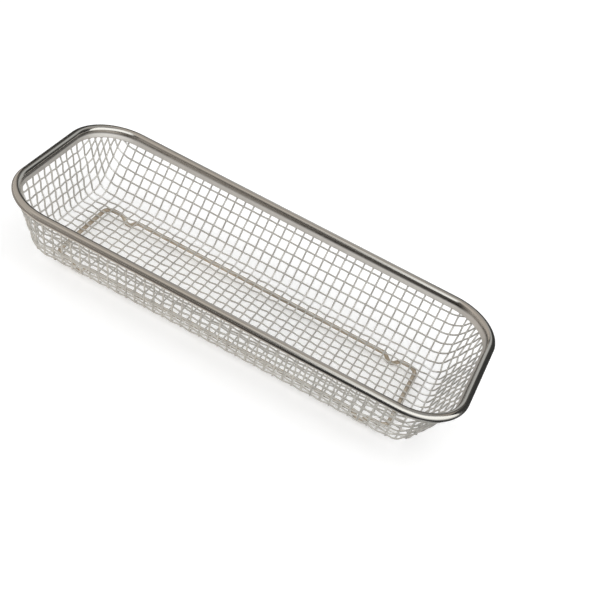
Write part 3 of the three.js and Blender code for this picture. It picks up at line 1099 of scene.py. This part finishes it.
def makeCard(name, material, columns):
    # a strip that only a mirror sees, with a low and a high point and their shades in each column
    count = len(columns)
    points = [low for low, _, _, _ in columns] + [high for _, high, _, _ in columns]
    shades = [shade for _, _, shade, _ in columns] + [shade for _, _, _, shade in columns]
    mesh = bpy.data.meshes.new(name)
    mesh.from_pydata(points, [], [(k, k + 1, count + k + 1, count + k) for k in range(count - 1)])
    laid = mesh.attributes.new("shade", "FLOAT_COLOR", "POINT")
    laid.data.foreach_set("color", [c for shade in shades for c in (*shade, 1.0)])
    mesh.materials.append(material)
    card = addObject(name, mesh)
    card.visible_camera = False
    card.visible_diffuse = False
    card.visible_shadow = False


def warm(grey):
    return (grey, 0.94 * grey, 0.86 * grey)


def plain(grey):
    return (0.98 * grey, 1.008 * grey, grey)


# flat cards: front, back and level, then columns of x and shade
flatCards = {
    # a table that is lighter to the left and far to the right
    "cardTable": (-0.9, 0.9, 0.0006, (
        (-0.9, warm(0.6)),
        (-0.14, warm(0.32)),
        (0.0, warm(0.12)),
        (0.05, plain(0.04)),
        (0.2, plain(0.06)),
        (0.4, plain(0.6)),
        (0.9, plain(0.9)),
    )),
    "cardTableBack": (0.062, 0.9, 0.0008, (
        (-0.9, warm(0.3)),
        (-0.2, plain(0.05)),
        (0.9, plain(0.04)),
    )),
    # pale strips under the basket and under its front wall
    "cardInside": (-0.01, 0.05, 0.001, (
        (-0.1, warm(0.57)),
        (-0.03, warm(0.82)),
        (0.0, warm(0.36)),
        (0.03, plain(0.08)),
        (0.045, warm(0.45)),
        (0.1, warm(0.55)),
    )),
    "cardUnder": (-0.075, -0.035, 0.0008, (
        (-0.15, warm(0.9)),
        (0.0, warm(0.75)),
        (0.15, plain(0.5)),
    )),
    # a ceiling that is brighter at the front
    "cardOver": (-2.2, 2.2, 1.6, (
        (-2.2, warm(0.58)),
        (0.0, warm(0.5)),
        (0.3, plain(0.38)),
        (2.2, plain(0.36)),
    )),
    "cardOverFront": (-1.6, -0.35, 1.58, (
        (-1.4, warm(0.68)),
        (-0.25, warm(0.7)),
        (-0.06, plain(1.0)),
        (1.3, plain(1.2)),
    )),
}

# upright cards: bottom and top, then columns of x, y and the shades down there and up there
wallCards = {
    "cardLeft": (0.0, 1.6, (
        (-1.4, -1.6, warm(0.58), warm(0.58)),
        (-1.4, 1.4, warm(0.58), warm(0.58)),
    )),
    # a back wall, dark below and paler above, and a pale card nearer to the basket
    "cardFarBack": (0.0, 1.1, (
        (-1.4, 1.4, plain(0.05), plain(0.05)),
        (0.35, 1.25, plain(0.05), plain(0.05)),
        (1.15, 0.45, plain(0.05), plain(0.05)),
    )),
    "cardFarBackHigh": (1.1, 1.6, (
        (-1.4, 1.4, warm(0.4), warm(0.4)),
        (0.35, 1.25, warm(0.4), warm(0.4)),
        (1.15, 0.45, warm(0.4), warm(0.4)),
    )),
    "cardBack": (0.0, 0.5, (
        (-0.22, 0.4, plain(0.08), plain(0.08)),
        (-0.15, 0.4, plain(0.45), plain(0.45)),
        (-0.06, 0.4, plain(0.62), plain(0.62)),
        (0.045, 0.4, plain(0.52), plain(0.52)),
        (0.11, 0.4, plain(0.06), plain(0.06)),
    )),
    # a bright wall on the right, dark low down towards the front
    "cardRight": (0.3, 1.6, (
        (1.15, 0.45, plain(1.5), plain(1.5)),
        (0.9, -0.6, plain(1.5), plain(1.5)),
        (0.12, -1.2, plain(1.5), plain(1.5)),
        (-0.06, -1.22, plain(1.0), plain(1.0)),
    )),
    "cardRightLow": (0.0, 0.3, (
        (1.15, 0.45, plain(1.2), plain(1.5)),
        (0.9, -0.6, plain(1.0), plain(1.4)),
        (0.4, -1.0, plain(0.2), plain(0.4)),
        (0.12, -1.2, plain(0.14), plain(0.2)),
        (-0.06, -1.22, plain(0.14), plain(0.2)),
    )),
    # a front wall that is dark low down near the middle
    "cardFront": (0.0, 0.6, (
        (-0.06, -1.22, plain(0.04), plain(0.18)),
        (-0.25, -1.268, warm(0.12), warm(0.17)),
        (-0.4, -1.309, warm(0.25), warm(0.26)),
        (-0.57, -1.358, warm(0.38), warm(0.4)),
        (-1.4, -1.6, warm(0.4), warm(0.45)),
    )),
    "cardFrontHigh": (0.6, 1.6, (
        (-0.06, -1.22, plain(0.18), plain(1.25)),
        (-0.25, -1.268, warm(0.17), warm(0.55)),
        (-0.4, -1.309, warm(0.26), warm(0.52)),
        (-0.57, -1.358, warm(0.4), warm(0.55)),
        (-1.4, -1.6, warm(0.45), warm(0.55)),
    )),
}


def makeCards():
    glow = makeCardGlow()
    for name, (front, back, level, columns) in flatCards.items():
        makeCard(name, glow, [((x, front, level), (x, back, level), shade, shade) for x, shade in columns])
    for name, (bottom, top, columns) in wallCards.items():
        makeCard(name, glow, [((x, y, bottom), (x, y, top), low, high) for x, y, low, high in columns])


def makeSky():
    world = bpy.data.worlds.new("studioSky")
    bpy.context.scene.world = world
    world.use_nodes = True
    tree = world.node_tree
    background = tree.nodes["Background"]
    setValues(background, {"Color": (1.0, 1.0, 1.0, 1.0)})
    strength = addNode(tree, "ShaderNodeMapRange", {"To Min": studio["skyStrength"], "To Max": 1.0})
    feed(tree, seenRays(tree), strength, "Value")
    link(tree, strength, "Result", background, "Strength")


def makeSoftbox():
    lamp = bpy.data.lights.new("softbox", "AREA")
    lamp.shape = "RECTANGLE"
    lamp.size, lamp.size_y = studio["softboxSize"]
    lamp.energy = studio["softboxPower"]
    softbox = addObject("softbox", lamp)
    softbox.location = studio["softboxPlace"]
    softbox.visible_glossy = False


# camera at the photo's viewing angle

view = {
    "azimuth": 8.05,  # degrees to the right of straight ahead
    "elevation": 35.31,
    "roll": 22.96,
    "distance": 0.6862,
    "aim": (0.03183, -0.01437),  # on the level of the rim's middle
    "lens": 74.75,
    "sensor": 36.0,
    "nearest": 0.01,
}


def makeCamera():
    azimuth, elevation, roll = (math.radians(view[k]) for k in ("azimuth", "elevation", "roll"))
    back = Vector((
        math.sin(azimuth) * math.cos(elevation),
        -math.cos(azimuth) * math.cos(elevation),
        math.sin(elevation),
    ))
    levelRight = Vector((0, 0, 1)).cross(back).normalized()
    levelUp = back.cross(levelRight)
    right = levelRight * math.cos(roll) + levelUp * math.sin(roll)
    up = levelUp * math.cos(roll) - levelRight * math.sin(roll)
    turn = Matrix((right, up, back)).transposed()
    lens = bpy.data.cameras.new("photoCamera")
    lens.sensor_width = view["sensor"]
    lens.sensor_fit = "HORIZONTAL"
    lens.lens = view["lens"]
    lens.clip_start = view["nearest"]
    camera = addObject("photoCamera", lens)
    aim = Vector((*view["aim"], rimLevel))
    camera.matrix_world = Matrix.Translation(aim + back * view["distance"]) @ turn.to_4x4()
    bpy.context.scene.camera = camera


makeCamera()
makeFloor()
makeSky()
makeSoftbox()
makeCards()
print("studio: ready")
makeRim()
finishCoreWire()
makeMesh()
makeFootFrame()
makeSpotWelds()
bpy.context.scene.view_settings.view_transform = "Standard"
